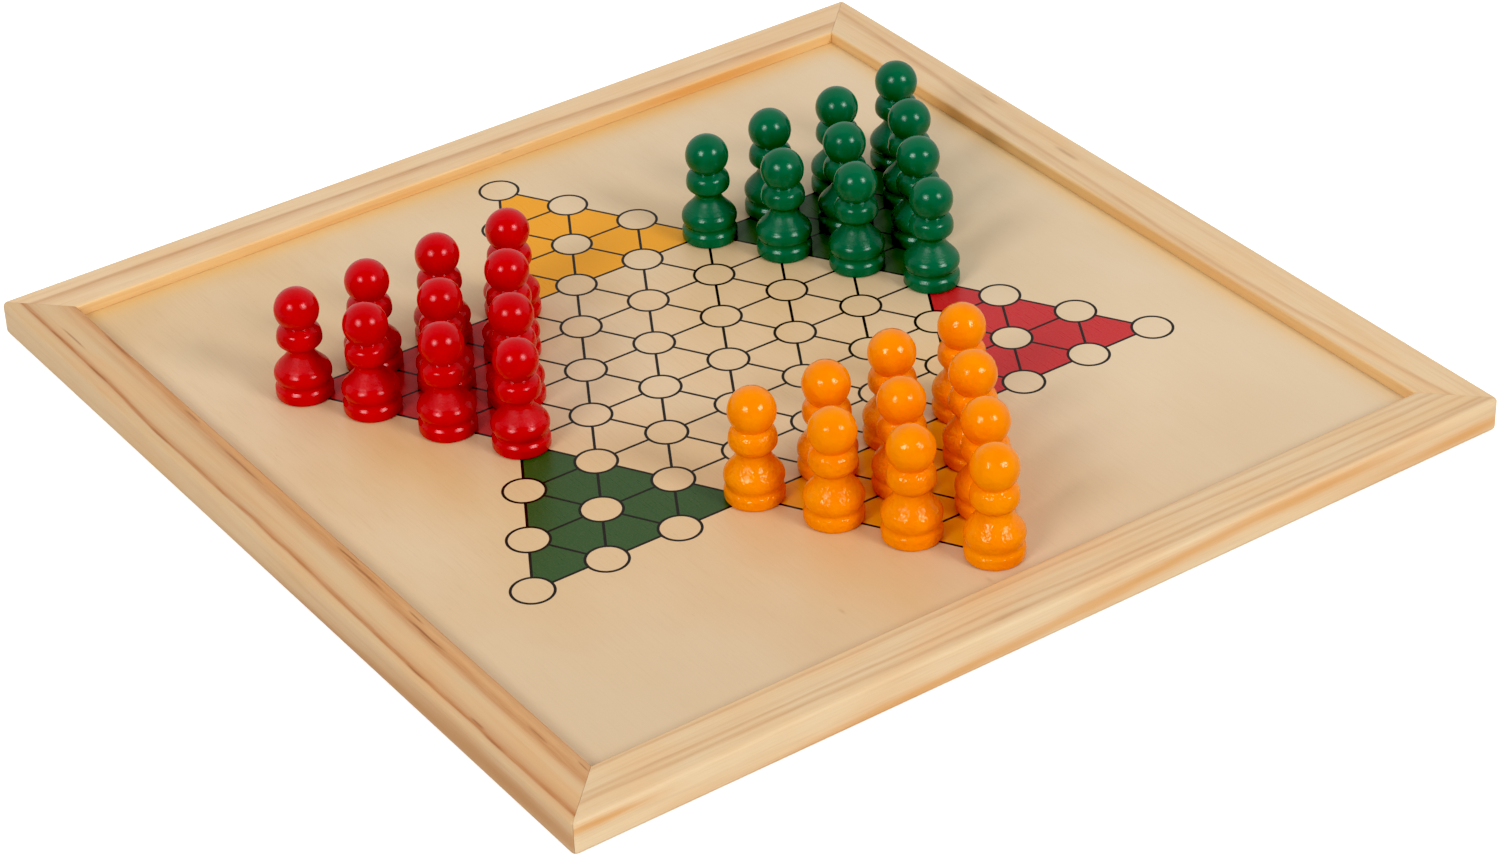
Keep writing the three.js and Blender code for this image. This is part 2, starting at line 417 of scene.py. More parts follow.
# Patches over the veneer: the middle of a patch, its reach along X and Y, its strength and its colour.
# Some are the veneer's own warmer tone, and the others are painted light and shade, as marked below.
BIRCH_TONES_AND_PAINTED_LIGHT = [
    # Painted warm reflected light beside the red pawns.
    (-96, 14, 16, 32, 0.5, BIRCH_AMBER),
    (-30, -108, 18, 44, 0.52, BIRCH_AMBER),
    (36, -34, 26, 16, 0.3, BIRCH_AMBER),
    # Painted shade with yellowish reflected light between the yellow and green pawns.
    (32, 20, 24, 26, 0.2, BIRCH_AMBER),
    # Painted reflected light from the lit inner faces of the back rails, along both of them.
    (0, 134, 200, 6, 0.7, BIRCH_PAINTED_REFLECTION),
    (60, 134, 60, 8, 0.4, BIRCH_AMBER),
    (134, 0, 5, 200, 0.5, BIRCH_PAINTED_REFLECTION),
    # Painted light over the shadows the pawns cast behind them.
    (-20, 104, 60, 28, 0.45, BIRCH_PAINTED_LIGHT),
    # Painted shade along the front edge.
    (20, -134, 200, 40, 0.35, BIRCH_PAINTED_SHADE),
]

# Bark flecks in the veneer: the middle of a fleck, its reach and its strength.
BIRCH_FLECKS = [
    (-46, -116, 0.5, 0.3),
    (-8, -128, 0.6, 0.25),
    (0, -96, 0.5, 0.2),
]


def birch_figure_and_painted_light(g, x, y):
    """The rotary-cut veneer's colour, with painted light and shade laid over it, its fibres and its
    pores.
    The grain runs along Y.
    """
    cloud = g.noise(g.vector(g.times(x, 0.022), g.times(y, 0.012), 3.0), 1.0, 3.0, 0.5, 0.4)
    ripple = g.noise(g.vector(g.times(x, 0.11), g.times(y, 0.035), 8.0), 1.0, 2.0, 0.5, 0.6)
    fibre = g.noise(g.vector(g.times(x, 1.9), g.times(y, 0.07), 1.0), 1.0, 3.0, 0.6)
    pore = g.spots(g.vector(g.times(x, 1.1), g.times(y, 0.16), 0.0), 1.0)
    pores = g.times(g.ease(pore, 0.05, 0.16, 1.0, 0.0), g.ease(ripple, 0.45, 0.7, 0.0, 0.5))
    colour = g.mix(g.ease(cloud, 0.32, 0.7), BIRCH_PALE, BIRCH_WARM)
    colour = g.mix(g.ease(ripple, 0.5, 0.78, 0.0, 0.3), colour, BIRCH_WARM)
    colour = g.mix(g.ease(fibre, 0.45, 0.8, 0.0, 0.12), colour, BIRCH_PORE)
    colour = g.mix(g.times(pores, 0.5), colour, BIRCH_PORE)
    # Painted light and shade: paler towards the back right, greyer and darker towards the front corner.
    colour = g.mix(g.ease(x, 0.0, 120.0, 0.0, 0.55), colour, BIRCH_PAINTED_LIGHT)
    colour = g.mix(g.ease(g.add(x, y), -250.0, -70.0, 0.5, 0.0), colour, BIRCH_PAINTED_SHADE)
    for along_x, along_y, reach_x, reach_y, strength, tone in BIRCH_TONES_AND_PAINTED_LIGHT:
        patch = g.times(g.bell(x, along_x, reach_x), g.bell(y, along_y, reach_y))
        colour = g.mix(g.times(patch, strength), colour, tone)
    for along_x, along_y, reach, strength in BIRCH_FLECKS:
        fleck = g.times(g.bell(x, along_x, reach), g.bell(y, along_y, reach * FLECK_STRETCH))
        colour = g.mix(g.times(fleck, strength), colour, BIRCH_PORE)
    return colour, fibre, pores


def birch():
    """The panel's plywood under clear varnish."""
    g = Shading("birch_plywood")
    x, y, _ = g.split(g.place())
    colour, fibre, pores = birch_figure_and_painted_light(g, x, y)
    g.surface(
        base_color=colour,
        roughness=g.ease(fibre, 0.2, 0.8, 0.30, 0.38),
        specular_ior_level=0.25,
        normal=g.bump(g.subtract(fibre, pores), 0.01),
    )
    return g.material


# ---------- Printing ink ----------


def ink(name, colour, show_through):
    """Ink printed on the birch and varnished with it, so that a little of the figure shows."""
    g = Shading("ink_" + name)
    x, y, _ = g.split(g.place())
    # The figure that shows through carries the panel's painted light and shade.
    wood, fibre, pores = birch_figure_and_painted_light(g, x, y)
    grain = g.noise(g.vector(x, y, 4.0), 2.2, 2.0)
    tone = g.mix(g.ease(fibre, 0.3, 0.8, show_through * 0.5, show_through), colour, wood)
    tone = g.mix(g.ease(grain, 0.35, 0.75, 0.0, show_through), tone, wood)
    g.surface(
        base_color=tone,
        roughness=g.ease(fibre, 0.2, 0.8, 0.26, 0.34),
        specular_ior_level=0.25,
        normal=g.bump(g.subtract(fibre, pores), 0.008),
    )
    return g.material


# ---------- Gloss paint ----------

# Heights on a pawn, from its foot: the base disc's rim, the groove above it, the bulge, the slope from
# its start to the waist, the foot, middle and top of the collar, and the neck.
BASE_RIM = 2.7
GROOVE = 4.6
BULGE = 7.1
SLOPE = 10.1
WAIST = 14.0
COLLAR_FOOT = 15.5
COLLAR = 18.2
COLLAR_TOP = 21.5
NECK = 22.4


def gloss_paint(name, look):
    """Thick gloss paint on turned wood. The mesh holds its own coordinates, in millimetres, as
    'turned', and they are shifted sideways from pawn to pawn, so that no two are alike."""
    g = Shading("paint_" + name)
    point = g.stored("turned")
    x, y, z = g.split(point)
    broad = g.noise(point, 0.16, 2.0)
    grit = g.noise(point, 2.8, 2.0, 0.6)
    lump = g.noise(point, look["lump_scale"], 2.0, 0.5)
    turning = g.noise(g.vector(g.times(x, 0.04), g.times(y, 0.04), g.times(z, 2.2)), 1.0, 2.0)
    # End grain roughens the slope above the bulge. The head is sanded smoother than the body.
    slope = g.times(g.ease(z, SLOPE - 0.7, SLOPE + 0.5), g.ease(z, WAIST - 1.2, WAIST + 0.4, 1.0, 0.0))
    body = g.ease(z, COLLAR_TOP, COLLAR_TOP + 2.0, 1.0, look["head_share"])

    tone = g.mix(g.ease(broad, 0.3, 0.75), look["colour"], look["deeper_tone_and_shade"])
    # Painted shade: the groove above the base disc is darkened towards the deeper tone.
    tone = g.mix(g.times(g.bell(z, GROOVE - 0.05, 0.4), 0.45), tone, look["deeper_tone_and_shade"])
    # The paint is thinnest over the rims of the base, the bulge and the collar.
    rims = g.total(
        [g.bell(z, BASE_RIM + 0.2, 0.5), g.bell(z, BULGE + 0.9, 0.7), g.bell(z, COLLAR + 0.4, 0.8)]
    )
    thin = g.times(rims, g.ease(lump, 0.5, 0.75, 0.0, 0.12))
    tone = g.mix(thin, tone, look["thin"])
    smooth = g.bump(g.times(lump, body), look["lumps"])
    rings = g.times(turning, g.ease(z, COLLAR_TOP - 0.5, COLLAR_TOP + 0.5, 1.0, 0.0))
    ringed = g.bump(rings, look["rings"], smooth)
    grain = g.times(grit, g.add(slope, g.times(body, look["grit_share"])))
    dulled = g.add(g.times(slope, look["dull_slope"]), look["roughness"])
    g.surface(
        base_color=tone,
        roughness=g.add(g.ease(broad, 0.3, 0.7, 0.0, 0.03), dulled),
        specular_ior_level=0.42,
        specular_tint=look["shine"],
        normal=g.bump(grain, look["grit"], ringed),
    )
    return g.material


# ---------- Steel ----------

STEEL_DARK = linear(150, 152, 155)
STEEL_LIGHT = linear(186, 187, 188)
STEEL_RUST = linear(120, 84, 60)


def steel():
    """Bare steel strip with fine scratches and a little rust."""
    g = Shading("nail_steel")
    point = g.place()
    scratch = g.noise(point, 3.0, 3.0, 0.6)
    rust = g.noise(point, 0.9, 2.0)
    tone = g.mix(g.ease(scratch, 0.3, 0.7), STEEL_DARK, STEEL_LIGHT)
    tone = g.mix(g.ease(rust, 0.6, 0.8, 0.0, 0.3), tone, STEEL_RUST)
    g.surface(
        base_color=tone,
        metallic=1.0,
        roughness=g.ease(scratch, 0.2, 0.8, 0.28, 0.5),
        normal=g.bump(scratch, 0.02),
    )
    return g.material


# ---------- Meshes ----------


def new_piece(name, vertices, faces, material, sharp_angle=40):
    """A shaded mesh from points in millimetres."""
    mesh = bpy.data.meshes.new(name)
    mesh.from_pydata([tuple(v) for v in np.asarray(vertices, float) * MM], [], faces)
    mesh.shade_smooth()
    mesh.set_sharp_from_angle(angle=math.radians(sharp_angle))
    mesh.materials.append(material)
    piece = bpy.data.objects.new(name, mesh)
    bpy.context.scene.collection.objects.link(piece)
    return piece


def keep_coordinates(mesh, name, shift=(0, 0, 0)):
    """Stores each vertex's place in millimetres on the mesh, for a material that moves with it."""
    places = np.array([v.co for v in mesh.vertices]) / MM + np.array(shift)
    stored = mesh.attributes.new(name, "FLOAT_VECTOR", "POINT")
    stored.data.foreach_set("vector", places.astype(np.float32).ravel())


def arc(centre, radius, start, end, steps):
    """Points on a circle, from one angle to another, in degrees."""
    angles = np.radians(np.linspace(start, end, steps + 1))
    return [(centre[0] + radius * math.cos(a), centre[1] + radius * math.sin(a)) for a in angles]


def bezier(start, lead_out, lead_in, end, steps):
    """Points on a cubic curve, without its first one."""
    points = []
    for t in np.linspace(0, 1, steps + 1)[1:]:
        weights = ((1 - t) ** 3, 3 * t * (1 - t) ** 2, 3 * t * t * (1 - t), t**3)
        corners = (start, lead_out, lead_in, end)
        points.append(tuple(sum(w * c[i] for w, c in zip(weights, corners)) for i in (0, 1)))
    return points


# ---------- Frame ----------

OUTER_EDGE_RADIUS = 1.35
INNER_EDGE_RADIUS = 0.75
CORNER_RADIUS = 1.6
MITRE_GAP = 0.05
GROOVE_DEPTH = 5.0
GROOVE_FIT = 0.1
NAIL_THICKNESS = 0.6
NAIL_FIT = 0.15
EDGE_STEPS = 8

# Where a rail's mesh has its cross-sections, as shares of its half length: close together in the
# rounded corners, counted inwards from each end, and even between them, counted from the middle.
CLOSE_STATIONS = [0.0, 0.0012, 0.0025, 0.004, 0.006, 0.0085, 0.012, 0.03]
EVEN_STATIONS = np.linspace(-0.94, 0.94, 60)


def rail_section():
    """The outline of a rail, as (distance from the board's centre, height), counter-clockwise."""
    r, s = OUTER_EDGE_RADIUS, INNER_EDGE_RADIUS
    low, high = PANEL_BOTTOM - GROOVE_FIT, PANEL_TOP + GROOVE_FIT
    section = []
    section += arc((HALF_SIDE - r, r), r, -90, 0, EDGE_STEPS)
    section += [(HALF_SIDE, z) for z in np.linspace(r, RAIL_HEIGHT - r, 8)[1:-1]]
    section += arc((HALF_SIDE - r, RAIL_HEIGHT - r), r, 0, 90, EDGE_STEPS)
    section += [(y, RAIL_HEIGHT) for y in np.linspace(HALF_SIDE - r, INNER_FACE + s, 12)[1:-1]]
    section += arc((INNER_FACE + s, RAIL_HEIGHT - s), s, 90, 180, EDGE_STEPS)
    section += [(INNER_FACE, high), (INNER_FACE + GROOVE_DEPTH, high)]
    section += [(INNER_FACE + GROOVE_DEPTH, low), (INNER_FACE, low)]
    section += arc((INNER_FACE + s, s), s, 180, 270, EDGE_STEPS)
    return section


def rounded_corner(x, y):
    """Moves a point in the square at a corner of the board into a quarter circle."""
    start = HALF_SIDE - CORNER_RADIUS
    u = (abs(x) - start) / CORNER_RADIUS
    v = (y - start) / CORNER_RADIUS
    if u <= 0 or v <= 0:
        return x, y
    shrink = max(u, v) / math.hypot(u, v)
    return math.copysign(start + u * shrink * CORNER_RADIUS, x), start + v * shrink * CORNER_RADIUS


def rail_mesh():
    """A rail along X on the +Y side, cut to 45 degrees at both ends. Its nail slots are cut in later.
    """
    section = rail_section()
    ends = 1 - np.array(CLOSE_STATIONS)
    stations = np.concatenate([-ends, EVEN_STATIONS, ends[::-1]])
    vertices = []
    for share in stations:
        for outward, height in section:
            x, y = rounded_corner(share * outward, outward)
            vertices.append((x - math.copysign(MITRE_GAP, share), y, height))
    around = len(section)
    faces = []
    for j in range(len(stations) - 1):
        for i in range(around):
            k = (i + 1) % around
            faces.append((j * around + i, j * around + k, (j + 1) * around + k, (j + 1) * around + i))
    faces.append(tuple(range(around))[::-1])
    faces.append(tuple((len(stations) - 1) * around + i for i in range(around)))
    return vertices, faces


def nail_slots():
    """Two cutters for a rail: each nail's outline, grown by its fit, from below the underside up."""
    below = -1.0
    low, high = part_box("corner_nail_back")
    bend = low.x / MM + NAIL_THICKNESS / 2
    tip = high.x / MM + NAIL_FIT
    top = high.z / MM + NAIL_FIT
    half = NAIL_THICKNESS / 2 + NAIL_FIT
    near, far = bend - half, bend + half
    outline = [(near, near), (tip, near), (tip, far), (far, far), (far, tip), (near, tip)]
    vertices, faces = [], []
    for mirrored in (False, True):
        points = [(-x, y) for x, y in reversed(outline)] if mirrored else outline
        base, count = len(vertices), len(points)
        vertices += [(x, y, below) for x, y in points]
        vertices += [(x, y, top) for x, y in points]
        faces.append(tuple(base + i for i in reversed(range(count))))
        faces.append(tuple(base + count + i for i in range(count)))
        for i in range(count):
            k = (i + 1) % count
            faces.append((base + i, base + k, base + count + k, base + count + i))
    return vertices, faces


def build_frame():
    """The four rails. They share one shape, and each has its own wood."""
    plain = Shading("unseen").material
    blank = new_piece("rail_blank", *rail_mesh(), plain)
    cutter = new_piece("slot_cutter", *nail_slots(), plain)
    cut = blank.modifiers.new("slots", "BOOLEAN")
    cut.operation = "DIFFERENCE"
    cut.solver = "EXACT"
    cut.object = cutter
    shaped = bpy.data.meshes.new_from_object(blank.evaluated_get(bpy.context.evaluated_depsgraph_get()))
    bpy.data.objects.remove(blank)
    bpy.data.objects.remove(cutter)
    keep_coordinates(shaped, "wood")
    for turn, (side, look) in enumerate(RAILS.items()):
        mesh = shaped.copy()
        mesh.materials.clear()
        mesh.materials.append(pine(side, look))
        rail = bpy.data.objects.new("rail_" + side, mesh)
        bpy.context.scene.collection.objects.link(rail)
        rail.rotation_euler.z = turn * math.pi / 2
        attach(rail, "board")
        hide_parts("frame_rail_" + side)


# ---------- Carried-over nodes ----------


def dress_node(name, material):
    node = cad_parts[name]
    node.data.materials.clear()
    node.data.materials.append(material)


def dress_panel_and_nails():
    dress_node("playing_panel", birch())
    bare_steel = steel()
    for corner in ("back", "left", "front", "right"):
        dress_node("corner_nail_" + corner, bare_steel)


# ---------- Printed star ----------

# The printing is laid on the panel in layers a few hundredths of a millimetre thick, and sinks into
# it a little, so that no layer's underside lies in the panel's face.
INK_SINK = 0.01
CELL_THICKNESS = 0.015
LINE_THICKNESS = 0.025
RING_THICKNESS = 0.03
RING_STEPS = 56
CORNER_STEPS = 10

# How far every row reaches from the middle, counted in pitches. Rows are numbered from the middle.
HALF_ROWS = {0: 3.0, 1: 3.5, 2: 4.0, 3: 4.5, 4: 1.0, 5: 0.5, 6: 0.0}
LAST_ROW = 6
HOME_STEPS = 3

# Each home triangle by its three corner points, as (column, row).
HOMES = {
    "red_left": ("red", (-4.5, 3), (-1.5, 3), (-3, 0)),
    "red_right": ("red", (4.5, -3), (1.5, -3), (3, 0)),
    "green_left": ("green", (-4.5, -3), (-3, 0), (-1.5, -3)),
    "green_right": ("green", (4.5, 3), (3, 0), (1.5, 3)),
    "yellow_back": ("yellow", (0, 6), (1.5, 3), (-1.5, 3)),
    "yellow_front": ("yellow", (0, -6), (-1.5, -3), (1.5, -3)),
}


def star_points():
    """Every point of the star, as (column, row)."""
    points = []
    for row in range(-LAST_ROW, LAST_ROW + 1):
        reach = HALF_ROWS[abs(row)]
        points += [(-reach + i, row) for i in range(int(2 * reach) + 1)]
    return points


def on_panel(point):
    """A point of the star in millimetres."""
    return Vector((point[0] * COLUMN_PITCH, point[1] * ROW_PITCH))


def slab(outlines, thickness):
    """Closed slabs lying on the panel. Each outline is a loop of points about a middle point that
    sees all of them."""
    vertices, faces = [], []
    bottom, top = PANEL_TOP - INK_SINK, PANEL_TOP + thickness
    for loop in outlines:
        base, count = len(vertices), len(loop)
        middle = sum((Vector(p) for p in loop), Vector((0, 0))) / count
        for height in (bottom, top):
            vertices += [(p[0], p[1], height) for p in loop]
            vertices.append((middle[0], middle[1], height))
        upper = base + count + 1
        for i in range(count):
            k = (i + 1) % count
            faces.append((base + k, base + i, base + count))
            faces.append((upper + i, upper + k, upper + count))
            faces.append((base + i, base + k, upper + k, upper + i))
    return vertices, faces


def counter_clockwise(loop):
    area = sum(a[0] * b[1] - b[0] * a[1] for a, b in zip(loop, loop[1:] + loop[:1]))
    return loop if area > 0 else loop[::-1]


def cell_outline(corners):
    """A small triangle between three points of the star, less the circles round them."""
    loop = []
    for i, corner in enumerate(corners):
        here = on_panel(corner)
        before = on_panel(corners[i - 1]) - here
        after = on_panel(corners[(i + 1) % len(corners)]) - here
        start = math.atan2(before.y, before.x)
        turn = (math.atan2(after.y, after.x) - start + math.pi) % TAU - math.pi
        degrees = (math.degrees(start), math.degrees(start + turn))
        loop += arc(here, RING_RADIUS, *degrees, CORNER_STEPS)
    return counter_clockwise(loop)


def home_cells(tip, first, last):
    """The nine cells of a home triangle, from steps along its two sides from the tip."""

    def at(a, b):
        return tuple(
            t + (f - t) * a / HOME_STEPS + (e - t) * b / HOME_STEPS for t, f, e in zip(tip, first, last)
        )

    cells = []
    for a in range(HOME_STEPS):
        for b in range(HOME_STEPS - a):
            cells.append(cell_outline([at(a, b), at(a + 1, b), at(a, b + 1)]))
            if a + b < HOME_STEPS - 1:
                cells.append(cell_outline([at(a + 1, b), at(a + 1, b + 1), at(a, b + 1)]))
    return cells


def line_outlines():
    """A strip between every two neighbouring points, from ring to ring."""
    points = star_points()
    strips = []
    for a in points:
        for step in ((1, 0), (0.5, 1), (-0.5, 1)):
            b = (a[0] + step[0], a[1] + step[1])
            if b not in points:
                continue
            start, end = on_panel(a), on_panel(b)
            forward = (end - start).normalized()
            side = Vector((-forward.y, forward.x)) * LINE_WIDTH / 2
            start, end = start + forward * RING_RADIUS, end - forward * RING_RADIUS
            strips.append([start - side, end - side, end + side, start + side])
    return strips


def ring_slabs():
    """A closed flat ring round every point of the star."""
    vertices, faces = [], []
    radii = (RING_RADIUS - LINE_WIDTH / 2, RING_RADIUS + LINE_WIDTH / 2)
    low, high = PANEL_TOP - INK_SINK, PANEL_TOP + RING_THICKNESS
    corners = [(radii[0], low), (radii[1], low), (radii[1], high), (radii[0], high)]
    for point in star_points():
        centre = on_panel(point)
        base = len(vertices)
        for i in range(RING_STEPS):
            angle = TAU * i / RING_STEPS
            across = Vector((math.cos(angle), math.sin(angle)))
            vertices += [(*(centre + across * r), z) for r, z in corners]
        for i in range(RING_STEPS):
            for c in range(4):
                here, there = base + 4 * i, base + 4 * ((i + 1) % RING_STEPS)
                d = (c + 1) % 4
                faces.append((here + c, there + c, there + d, here + d))
    return vertices, faces


# Each ink's colour, and how much of the wood shows through it.
INKS = {
    "yellow": (linear(238, 160, 6), 0.04),
    "green": (linear(38, 78, 36), 0.03),
    "red": (linear(196, 32, 42), 0.03),
    "black": (linear(18, 14, 13), 0.01),
}


def build_print():
    """The star: its lines, its circles and its six coloured homes, all fixed to the panel."""
    inks = {name: ink(name, *look) for name, look in INKS.items()}
    black = inks["black"]
    pieces = [new_piece("print_lines", *slab(line_outlines(), LINE_THICKNESS), black)]
    pieces.append(new_piece("print_rings", *ring_slabs(), black))
    for name, (colour, *corners) in HOMES.items():
        cells = slab(home_cells(*corners), CELL_THICKNESS)
        pieces.append(new_piece("print_home_" + name, *cells, inks[colour]))
    for piece in pieces:
        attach(piece, "board")


# ---------- Pawns ----------

FOOT_RADIUS = 8.1
COLLAR_RADIUS = 6.4
HEAD_RADIUS = 6.3
PAWN_AROUND = 88
HEAD_STEPS = 30
FOOT_EASE = 1.5  # height over which the paint and its unevenness come in above the foot
TOP_EASE = 0.6  # height over which the unevenness goes out below the top
PAWNS_EACH = 10
PAWN_SHARP_ANGLE = 60
PATTERN_SHIFT = Vector((40.0, 15.0, 0.0))  # millimetres between one pawn's pattern and the next one's

# colour and thin: the paint's tone, and where it is thin. Between them, a deeper tone, which varies the
# colour at random and paints shade into the groove. shine: its gloss's tint.
# build: millimetres of paint on the head. fill: how far the paint fills the hollows, from 0 to 1.
# swell: millimetres of unevenness. lump_scale: lumps to the millimetre. lumps, rings, grit: the depth
# of the paint's texture, in millimetres. grit_share: the grit off the slope, against the slope's.
# head_share: the texture of the head, against the body's. roughness: the gloss's own roughness.
# dull_slope: roughness added on the slope.
PAINTS = {
    "red": {
        "colour": linear(204, 2, 14),
        "deeper_tone_and_shade": linear(192, 0, 8),
        "thin": linear(216, 24, 22),
        "shine": (1.0, 0.76, 0.76),
        "build": 0.0,
        "fill": 0.0,
        "swell": 0.035,
        "lump_scale": 1.1,
        "lumps": 0.03,
        "rings": 0.015,
        "grit": 0.12,
        "grit_share": 0.07,
        "head_share": 0.1,
        "roughness": 0.215,
        "dull_slope": 0.2,
    },
    "green": {
        "colour": linear(3, 100, 62),
        "deeper_tone_and_shade": linear(0, 90, 54),
        "thin": linear(20, 112, 70),
        "shine": (0.84, 1.0, 0.92),
        "build": 0.0,
        "fill": 0.1,
        "swell": 0.04,
        "lump_scale": 1.1,
        "lumps": 0.035,
        "rings": 0.055,
        "grit": 0.06,
        "grit_share": 0.1,
        "head_share": 0.1,
        "roughness": 0.215,
        "dull_slope": 0.14,
    },
    "yellow": {
        "colour": linear(250, 144, 2),
        "deeper_tone_and_shade": linear(246, 132, 0),
        "thin": linear(252, 168, 20),
        "shine": (1.0, 0.88, 0.62),
        "build": 0.35,
        "fill": 1.0,
        "swell": 0.08,
        "lump_scale": 0.72,
        "lumps": 0.36,
        "rings": 0.02,
        "grit": 0.015,
        "grit_share": 0.5,
        "head_share": 0.35,
        "roughness": 0.15,
        "dull_slope": 0.0,
    },
}


def pawn_outline(height, fill):
    """The turned outline as (radius, height), from the foot's centre to the head's top: a base disc,
    a groove, a bell, a waist, a bead for a collar, and a ball."""
    foot, collar = FOOT_RADIUS, COLLAR_RADIUS
    groove, waist, neck = 7.25 + 0.2 * fill, 3.8 + 0.8 * fill, 4.1 + 0.4 * fill
    slope = (6.5, SLOPE + 0.4 * fill)
    outline = [(0.0, 0.0), (2.5, 0.0), (5.0, 0.0), (6.6, 0.0), (7.35, 0.0)]
    # Each stretch goes on from the last: the two handles of its curve, its end and its steps.
    stretches = [
        ((7.85, 0.0), (foot, 0.35), (foot, 1.1), 8),
        ((foot, 1.7), (foot, 2.2), (foot, BASE_RIM), 4),
        ((foot, 3.4), (groove - 0.05, 3.85), (groove, GROOVE), 9),
        ((groove + 0.05, 5.3), (foot, 5.9), (foot, BULGE), 9),
        ((foot, 8.6), (7.3, 9.3), slope, 9),
        ((5.5, slope[1] + 1.1), (waist + 0.15, 12.6), (waist, WAIST), 10),
        ((waist - 0.05, 14.7), (waist + 0.1, 15.2), (waist + 0.4, COLLAR_FOOT), 5),
        ((5.5, 16.2), (collar, 16.7), (collar, COLLAR), 9),
        ((collar, 19.9), (6.0, 21.0), (5.2, COLLAR_TOP), 9),
        ((4.9, 21.8), (neck + 0.1, 22.1), (neck, NECK), 4),
    ]
    for stretch in stretches:
        outline += bezier(outline[-1], *stretch)
    head_centre = height - HEAD_RADIUS
    neck_angle = math.degrees(math.acos(neck / HEAD_RADIUS))
    outline += arc((0.0, head_centre), HEAD_RADIUS, -neck_angle, 90, HEAD_STEPS)[1:-1]
    outline.append((0.0, height))
    return outline


def painted_outline(height, look):
    """The outline under a coat of paint, which is thickest on the head and ends at the foot."""
    bare = pawn_outline(height, look["fill"])
    coated = []
    for i, (radius, z) in enumerate(bare):
        before, after = bare[max(i - 1, 0)], bare[min(i + 1, len(bare) - 1)]
        run = math.hypot(after[0] - before[0], after[1] - before[1])
        out, up = (after[1] - before[1]) / run, (before[0] - after[0]) / run
        coat = look["build"] * min(z / FOOT_EASE, 1.0) * (0.3 + 0.7 * z / height)
        coated.append((radius + out * coat, z + up * coat))
    coated[-1] = (0.0, height + look["build"])
    return coated


def pawn_mesh(height, look, seed):
    """A pawn turned about Z, with its paint a little uneven."""
    outline = painted_outline(height, look)
    top = outline[-1][1]
    vertices = [(0.0, 0.0, 0.0)]
    for radius, z in outline[1:-1]:
        lift = min(z / FOOT_EASE, 1.0) * min((top - z) / TOP_EASE, 1.0)
        for i in range(PAWN_AROUND):
            angle = TAU * i / PAWN_AROUND
            across = Vector((math.cos(angle), math.sin(angle), 0.0))
            spot = Vector((across.x * radius, across.y * radius, z))
            drift = noise.noise(spot * 0.33 + Vector((seed * 7.3, seed * 3.1, 0.0)))
            ripple = noise.noise(spot * 0.9 + Vector((0.0, seed * 5.7, seed * 2.3)))
            grown = radius + lift * look["swell"] * (drift + 0.6 * ripple)
            vertices.append((across.x * grown, across.y * grown, z))
    vertices.append((0.0, 0.0, top))
    rows = len(outline) - 2
    faces = []
    for i in range(PAWN_AROUND):
        k = (i + 1) % PAWN_AROUND
        faces.append((0, 1 + k, 1 + i))
        for j in range(rows - 1):
            low, high = 1 + j * PAWN_AROUND, 1 + (j + 1) * PAWN_AROUND
            faces.append((low + i, low + k, high + k, high + i))
        last = 1 + (rows - 1) * PAWN_AROUND
        faces.append((last + i, last + k, len(vertices) - 1))
    return vertices, faces


def build_pawns():
    """Ten pawns of each colour, each on its own body, where the frame has them."""
    seed = 1
    for colour, look in PAINTS.items():
        paint = gloss_paint(colour, look)
        for number in range(1, PAWNS_EACH + 1):
            node = f"pawn_{colour}_{number}"
            low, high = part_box(node)
            foot = Vector(((low.x + high.x) / 2, (low.y + high.y) / 2, low.z))
            height = (high.z - low.z) / MM
            pawn = new_piece(f"painted_{node}", *pawn_mesh(height, look, seed), paint, PAWN_SHARP_ANGLE)
            keep_coordinates(pawn.data, "turned", PATTERN_SHIFT * seed)
            pawn.location = foot
            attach(pawn, f"{colour}_pawn_{number}")
            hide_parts(node)
            seed += 1


# ---------- Stage ----------

FLOOR_REACH = 6.0
CAMERA_AZIMUTH = -34.05
CAMERA_ELEVATION = 33.28
CAMERA_ROLL = -2.21
CAMERA_DISTANCE = 1.1024
CAMERA_LENS = 97.28
LOOK_AT = Vector((-0.0156, -0.0325, PANEL_TOP * MM))
SENSOR_WIDTH = 36.0
FLOOR_GAP = 0.02  # millimetres from the floor to the underside
BLACK_LEVEL = 0.018

# Each softbox's angle round from the camera, and its brightness.
SOFTBOXES = {"softbox_left": (-36, 13.2), "softbox_right": (50, 13.9)}
SOFTBOX_ELEVATION = 34
SOFTBOX_DISTANCE = 3.0
SOFTBOX_SIDE = 0.88

# How bright the surroundings are behind the object and behind the camera.
BRIGHT_BEHIND_OBJECT = 0.74
BRIGHT_BEHIND_CAMERA = 0.36


def away(azimuth, elevation):
    """The direction from the object towards a viewer at these angles, in degrees."""
    a, e = math.radians(azimuth), math.radians(elevation)
    return Vector((math.sin(a) * math.cos(e), -math.cos(a) * math.cos(e), math.sin(e)))


def build_floor():
    """Plain pale card. The camera sees it as white, and it throws a little less light back."""
    g = Shading("floor_card")
    speckle = g.noise(g.place(), 0.02, 2.0)
    white = g.mix(speckle, (0.93, 0.93, 0.93), (0.95, 0.95, 0.95))
    seen = g.tree.nodes.new("ShaderNodeLightPath").outputs["Is Camera Ray"]
    g.surface(
        base_color=g.mix(seen, (0.6, 0.6, 0.6), white),
        roughness=0.8,
        specular_ior_level=0.2,
        emission_color=(1.0, 1.0, 1.0),
        emission_strength=g.times(seen, 0.55),
    )
    reach = FLOOR_REACH / MM
    corners = [(-reach, -reach, 0.0), (reach, -reach, 0.0), (reach, reach, 0.0), (-reach, reach, 0.0)]
    floor = new_piece("floor", corners, [(0, 1, 2, 3)], g.material)
    floor.location.z = -FLOOR_GAP * MM


